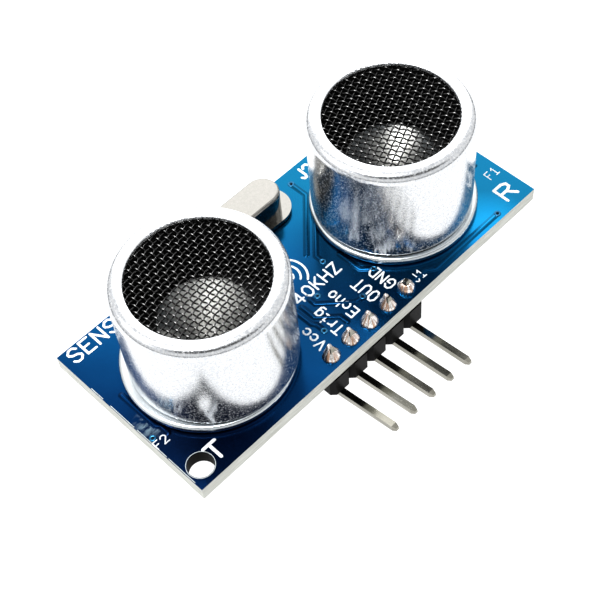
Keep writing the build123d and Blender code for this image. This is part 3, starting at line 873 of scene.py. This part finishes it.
REAR_TRACKS = (
    ((-1.27, 3.9), (-1.27, 5.2), (-2.5, 6.5)),
    ((1.27, 3.9), (1.27, 5.4), (2.2, 6.4)),
    ((-2.54, -2.3), (-2.54, -7.3)),
    ((0, -2.3), (0, -7.3)),
    ((2.54, -2.3), (2.54, -7.3)),
    ((-3.81, -2.3), (-3.81, -3.6), (-4.4, -4.2), (-5.1, -4.2)),
    ((3.81, -2.3), (3.81, -3.6), (4.4, -4.2), (5.1, -4.2)),
    ((-3.81, 3.9), (-3.81, 4.4), (-4.4, 5.0), (-5.1, 5.0)),
    ((3.81, 3.9), (3.81, 4.4), (4.4, 5.0), (5.1, 5.0)),
    ((-16.8, 2.5), (-16.8, 7.3)),
    ((-15.53, 2.5), (-15.53, 6.9), (-15.9, 7.3)),
    ((-14.26, 2.5), (-14.26, 7.2)),
    ((-9.18, 2.5), (-9.18, 6.7), (-8.8, 7.1)),
    ((-7.91, 2.5), (-7.91, 3.6), (-6.7, 4.8)),
    ((-16.8, -3.7), (-16.8, -4.6), (-18.2, -6.0), (-18.2, -7.6)),
    ((-10.45, -3.7), (-10.45, -5.2), (-10.2, -5.5), (-10.2, -6.2)),
    ((-7.91, -3.7), (-7.91, -5.7), (-6.5, -7.1), (-5.4, -7.1)),
    ((8.49, 2.5), (8.49, 6.9), (8.75, 7.2)),
    ((9.76, 2.5), (9.76, 7.2)),
    ((14.84, 2.5), (14.84, 6.8), (14.5, 7.1)),
    ((16.11, 2.5), (16.11, 7.2)),
    ((8.49, -3.7), (8.49, -7.2)),
    ((9.76, -3.7), (9.76, -6.9), (9.9, -7.2)),
    ((14.84, -3.7), (14.84, -5.6), (16.4, -7.2), (18.2, -7.2)),
    ((16.5, -3.5), (17.0, -3.0), (19.1, -3.0)),
    ((-19.1, 2.2), (-17.2, 2.2)),
    ((-19.1, -1.8), (-18.3, -1.8), (-17.1, -3.0)),
    ((-20.7, 4.2), (-20.7, -1.8)),
    ((20.7, 3.0), (20.7, -3.0)),
    ((19.1, 3.0), (17.7, 3.0), (16.9, 2.2)),
)
REAR_VIAS = ((-3.56, -6.33), (1.7, -6.3), (-22.0, -3.0), (17.7, -9.3), (-18.2, -7.9), (18.5, -7.2),
             (-6.2, 1.2), (6.2, -1.0), (7.4, -5.6), (3.2, -5.2), (-19.0, 6.0), (18.0, 5.4))

VIA_PROFILE = ((0.36, 0.0), (0.34, 0.035), (0.28, 0.045), (0.2, 0.045), (0.16, 0.03))
PIT_PROFILE = ((0.15, 0.0), (0.15, 0.034), (0.06, 0.036))

HOLE_AT = (20.9, 8.1)
HOLE_R = 1.25
BARE_WIDTH = 0.07
BARE_HEIGHT = 0.012


def tracks(name, routes, side=1):
    """Tracks under the mask: each a low ridge in the middle of a dark isolation gap."""
    gaps, ridges = Shape(), Shape()
    z = FRONT if side > 0 else REAR
    for route in routes:
        gaps.stroke(route, GAP_WIDTH, GAP_HEIGHT, z, side, crown=0.96)
        ridges.stroke(route, TRACK_WIDTH, TRACK_HEIGHT + STROKE_STEP * STROKE_LEVELS, z, side, crown=0.7)
    gaps.build(f"{name}_track_gaps", GAP, "board")
    ridges.build(f"{name}_tracks", TRACK, "board")


def vias(name, places, side=1):
    """Small tented holes: a raised ring round a dimple painted near-black as shade."""
    rings, pits = Shape(), Shape()
    z = FRONT if side > 0 else REAR
    for centre in places:
        rings.turned(VIA_PROFILE, centre, z, side, 24)
        pits.turned(PIT_PROFILE, centre, z, side, 16)
    rings.build(f"{name}_vias", VIA_RING, "board")
    pits.build(f"{name}_via_pits", VIA_PIT_SHADE, "board")


def hole_rims(name, side=1):
    """The pale line of bare laminate where each mounting hole breaks the mask."""
    shape = Shape()
    z = FRONT if side > 0 else REAR
    for across in (-1, 1):
        centre = (across * HOLE_AT[0], across * HOLE_AT[1])
        ring = arc(centre, HOLE_R + BARE_WIDTH, 0, 358, 60)
        shape.stroke(ring, BARE_WIDTH, BARE_HEIGHT, z, side)
    shape.build(f"hole_rims_{name}", RIM_OF_HOLE, "board")


tracks("front", FRONT_TRACKS)
tracks("rear", REAR_TRACKS, -1)
vias("front", FRONT_VIAS)
vias("rear", REAR_VIAS, -1)
hole_rims("front")
hole_rims("rear", -1)

# ---------------------------------------------------------------- pads, fillets and rear legends

CHIP_NAMES = ("transmit_driver", "microcontroller", "op_amp")
CHIP_PITCH = 1.27
LEAD_WIDTH = 0.42
PAD_HEIGHT = 0.03
CHIP_LAND = (0.62, 1.3)
PASSIVE_LAND = (0.85, 1.0)
# Round lands: radius at the foot, radius at the top, and number of sides.
CAN_LAND = (1.42, 1.36, 40)
CRYSTAL_LAND = (1.05, 1.0, 32)
# From the middle of a resistor or capacitor to the middle of its land.
PASSIVE_REACH = 0.8
RESISTOR_CLIMB = 0.26
CAPACITOR_CLIMB = 0.4
RESISTORS_AT = ([(x, 7.9) for x in (-17.6, -15.2, -12.8, -10.4, -8.0, 8.0, 10.4, 12.8, 15.2)]
                + [(x, -7.9) for x in (9.2, 11.6)])
CAPACITORS_AT = ([(-19.9, y) for y in (4.2, 2.2, 0.2, -1.8)] + [(19.9, y) for y in (3.0, 1.0, -1.0, -3.0)]
                 + [(x, y) for x in (-5.9, 5.9) for y in (5.0, -4.2)])
# From the middle of a part to the middle of its number.
RESISTOR_LABEL = 1.15
CAPACITOR_LABEL = 1.1
# Capacitors further out than this have their numbers beside them, in a column near the edge.
OUTER_COLUMNS = 10
OUTER_LABELS = 21.75


def lead_feet(node, pitch, width):
    """The tips of two facing rows of bent leads: x, y and which way is outward."""
    low, high = node_box(node)
    count = round((high[0] - low[0] - width) / pitch) + 1
    columns = [low[0] + width / 2 + pitch * i for i in range(count)]
    return [(x, low[1], -1) for x in columns] + [(x, high[1], 1) for x in columns]


def round_lands(shape, centres, foot, top, sides):
    """Flat discs of tin under soldered leads, each with its upper edge eased."""
    for centre in centres:
        shape.turned(((foot, 0.0), (foot, 0.02), (top, PAD_HEIGHT)), centre, REAR, -1, sides)


def pads_and_fillets():
    """The tinned lands under every rear part, with solder drawn up against each terminal."""
    lands, fillets = Shape(), Shape()
    feet = [foot for name in CHIP_NAMES for foot in lead_feet(f"{name}_leads", CHIP_PITCH, LEAD_WIDTH)]
    low, high = node_box("transistor_leads")
    half = LEAD_WIDTH / 2
    feet += [(low[0] + half, high[1], 1), (high[0] - half, high[1], 1),
             ((low[0] + high[0]) / 2, low[1], -1)]
    for x, y, outward in feet:
        lands.slab((x, y - 0.2 * outward), CHIP_LAND, PAD_HEIGHT, REAR, -1)
        fillets.slab((x, y + 0.08 * outward), (0.44, 0.34), 0.13, REAR, -1)
        fillets.slab((x, y - 0.5 * outward), (0.5, 0.22), 0.12, REAR, -1, corner=0.08)
    for places, climb in ((RESISTORS_AT, RESISTOR_CLIMB), (CAPACITORS_AT, CAPACITOR_CLIMB)):
        for x, y in places:
            for side in (-1, 1):
                lands.slab((x + side * PASSIVE_REACH, y), PASSIVE_LAND, PAD_HEIGHT, REAR, -1)
                fillets.slab((x + side * (PASSIVE_REACH + 0.08), y), (0.28, 0.72), climb * 0.6, REAR, -1)
                fillets.slab((x + side * (PASSIVE_REACH + 0.02), y), (0.2, 0.76), climb, REAR, -1,
                             corner=0.08)
    round_lands(lands, CAN_LEADS, *CAN_LAND)
    round_lands(lands, CRYSTAL_LEADS, *CRYSTAL_LAND)
    lands.build("rear_lands", TIN, "solder")
    fillets.build("rear_fillets", SOLDER, "solder")


def rear_text(text, x, y, length=1.15, height=0.8):
    """Strokes of a word centred on x, y as seen from the front, for printing on the rear."""
    return text_strokes(text, (-x - length / 2, y - height / 2), length, height)


def part_number(letter, number, x, y):
    """A letter and a number, set as wide as its digits need."""
    return rear_text(f"{letter}{number}", x, y, 1.15 if number < 10 else 1.6)


def rear_legends():
    """Part numbers, and the outlines of the chips and the header, as seen from behind."""
    marks = []
    for number, (x, y) in enumerate(RESISTORS_AT, 1):
        marks += part_number("R", number, x, y + math.copysign(RESISTOR_LABEL, y))
    for number, (x, y) in enumerate(CAPACITORS_AT, 1):
        if abs(x) > OUTER_COLUMNS:
            marks += rear_text(f"C{number}", math.copysign(OUTER_LABELS, x), y, 0.95, 0.7)
        else:
            marks += part_number("C", number, x, y + CAPACITOR_LABEL)
    legend("rear_part_numbers", marks, 0.11, -1)
    outlines = []
    for number, name in enumerate(CHIP_NAMES, 1):
        low, high = node_box(name)
        x0, x1, y0, y1 = low[0] - 0.3, high[0] + 0.3, low[1] + 0.1, high[1] - 0.1
        notch = arc((-x0, (y0 + y1) / 2), 0.45, 90, 270, 10)
        outlines += [[(-x0, y0), (-x0, y1)], [(-x1, y0), (-x1, y1)], notch]
        outlines += rear_text(f"U{number}", x1 + 0.95, (y0 + y1) / 2 - 0.9, 1.2, 0.95)
    outlines += rear_text("Y1", -0.2, 7.8, 1.2, 0.95) + rear_text("Q1", -12.7, -7.6, 1.2, 0.95)
    low, high = node_box("header_body")
    left, right, top = -low[0] + 0.25, -high[0] - 0.25, high[1] + 0.25
    outlines += [[(left, low[1] + 1.2), (left, top), (right, top), (right, low[1] + 1.2)]]
    outlines += rear_text("GND", 5.1, -6.4, 1.9, 0.8) + rear_text("VCC", -5.1, -6.0, 1.8, 0.8)
    legend("rear_outlines", outlines, 0.15, -1)


GLINT_WIDTH = 0.09
GLINT_RUNS = ((-9.0, -5.6), (-5.3, -1.4), (-0.9, 2.3), (3.4, 5.0))


def painted_edge_glint():
    """A pale broken line along the routed left edge, where the mask stops short, painted as a highlight for
    the glint along the mask's lip.
    """
    shape = Shape()
    x = BOARD_LOW[0] + GLINT_WIDTH
    for start, end in GLINT_RUNS:
        shape.stroke(((x, start), (x, end)), GLINT_WIDTH, BARE_HEIGHT, FRONT)
    shape.build("painted_edge_glint", RIM_OF_HOLE, "board")


pads_and_fillets()
rear_legends()
painted_edge_glint()

# ---------------------------------------------------------------- stage, light and camera

FLOOR_HALF = 900
SKY_TOWARDS = (0.62, 0.68, 0.39)
SKY_PEAK = 2.4
STRIP_TOWARDS = (-0.64, -0.77, 0)
STRIP_DEPTH = 0.92
UP = (0, 0, 1)

CAMERA_TARGET = (-2.61, -2.19, 0.0)
CAMERA_DISTANCE = 122.34
CAMERA_AZIMUTH = -39.91
CAMERA_ELEVATION = 54.80
CAMERA_ROLL = -6.53
CAMERA_LENS = 77.77


def floor():
    """A white sheet under the lowest point, glowing a little so that shadows stay faint."""
    z = cad_low.z / MM
    corners = [(x * FLOOR_HALF, y * FLOOR_HALF, z) for x, y in ((-1, -1), (1, -1), (1, 1), (-1, 1))]
    f = Finish("floor", (0.25, 0.25, 0.25), 0.9, Specular_IOR_Level=0.0)
    f.shader.inputs["Emission Color"].default_value = (1, 1, 1, 1)
    f.shader.inputs["Emission Strength"].default_value = 0.9
    mesh_object("floor", corners, [(0, 1, 2, 3)], f.material)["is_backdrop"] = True


def soft_light(name, position, target, size, power):
    """A round lamp of a size in millimetres and a power in watts, aimed at a target."""
    data = bpy.data.lights.new(name, "AREA")
    data.shape = "DISK"
    data.size = size * MM
    data.energy = power
    lamp = bpy.data.objects.new(name, data)
    lamp.location = Vector(position) * MM
    aim = Vector(target) - Vector(position)
    lamp.rotation_euler = aim.to_track_quat("-Z", "Y").to_euler()
    bpy.context.scene.collection.objects.link(lamp)


def surroundings():
    """A white studio: brightest behind the object, with a dark strip high up on the camera's side."""
    world = bpy.data.worlds.new("studio")
    world.use_nodes = True
    tree = world.node_tree
    direction = tree.nodes.new("ShaderNodeTexCoord").outputs["Generated"]

    def lobe(towards, edge, core, outside, inside):
        """Strength that goes from outside to inside as a direction nears the given one."""
        dot = tree.nodes.new("ShaderNodeVectorMath")
        dot.operation = "DOT_PRODUCT"
        dot.inputs[1].default_value = Vector(towards).normalized()
        tree.links.new(direction, dot.inputs[0])
        return range_node(tree, dot.outputs["Value"], edge, core, outside, inside, "SMOOTHSTEP")

    def product(a, b):
        return maths_node(tree, "MULTIPLY", a, b)

    sky = lobe(SKY_TOWARDS, edge=0.76, core=0.90, outside=0.85, inside=SKY_PEAK)
    above_strip_foot = lobe(UP, edge=0.60, core=0.74, outside=0.0, inside=1.0)
    below_strip_top = lobe(UP, edge=0.88, core=0.97, outside=1.0, inside=0.0)
    on_strip_side = lobe(STRIP_TOWARDS, edge=0.05, core=0.3, outside=0.0, inside=1.0)
    strip = product(product(above_strip_foot, below_strip_top), on_strip_side)
    sky = product(sky, maths_node(tree, "SUBTRACT", 1.0, product(strip, STRIP_DEPTH)))
    sky = product(sky, lobe(UP, edge=0.0, core=0.28, outside=0.15, inside=1.0))
    background = tree.nodes["Background"]
    background.inputs["Color"].default_value = (1, 1, 1, 1)
    tree.links.new(sky, background.inputs["Strength"])
    bpy.context.scene.world = world


def camera():
    """Looks from azimuth and elevation at the target, rolled a little about its own axis."""
    data = bpy.data.cameras.new("camera")
    data.sensor_width = 36.0
    data.lens = CAMERA_LENS
    data.clip_start = 0.005
    data.clip_end = 10.0
    eye = bpy.data.objects.new("camera", data)
    azimuth, elevation = math.radians(CAMERA_AZIMUTH), math.radians(CAMERA_ELEVATION)
    back = Vector((math.sin(azimuth) * math.cos(elevation), -math.cos(azimuth) * math.cos(elevation),
                   math.sin(elevation)))
    level = (-back).to_track_quat("-Z", "Y").to_matrix()
    turn = level @ Matrix.Rotation(math.radians(CAMERA_ROLL), 3, "Z")
    place = Matrix.Translation((Vector(CAMERA_TARGET) + back * CAMERA_DISTANCE) * MM)
    eye.matrix_world = place @ turn.to_4x4()
    bpy.context.scene.collection.objects.link(eye)
    bpy.context.scene.camera = eye


floor()
surroundings()
soft_light("key", (-260, 160, 380), (0, 0, 5), size=420, power=0.3)
soft_light("overhead", (-65, 40, 420), (0, 0, 8), size=160, power=1.2)
camera()
bpy.context.scene.view_settings.view_transform = "Standard"
bpy.context.scene.view_settings.look = "Medium High Contrast"

low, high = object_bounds()
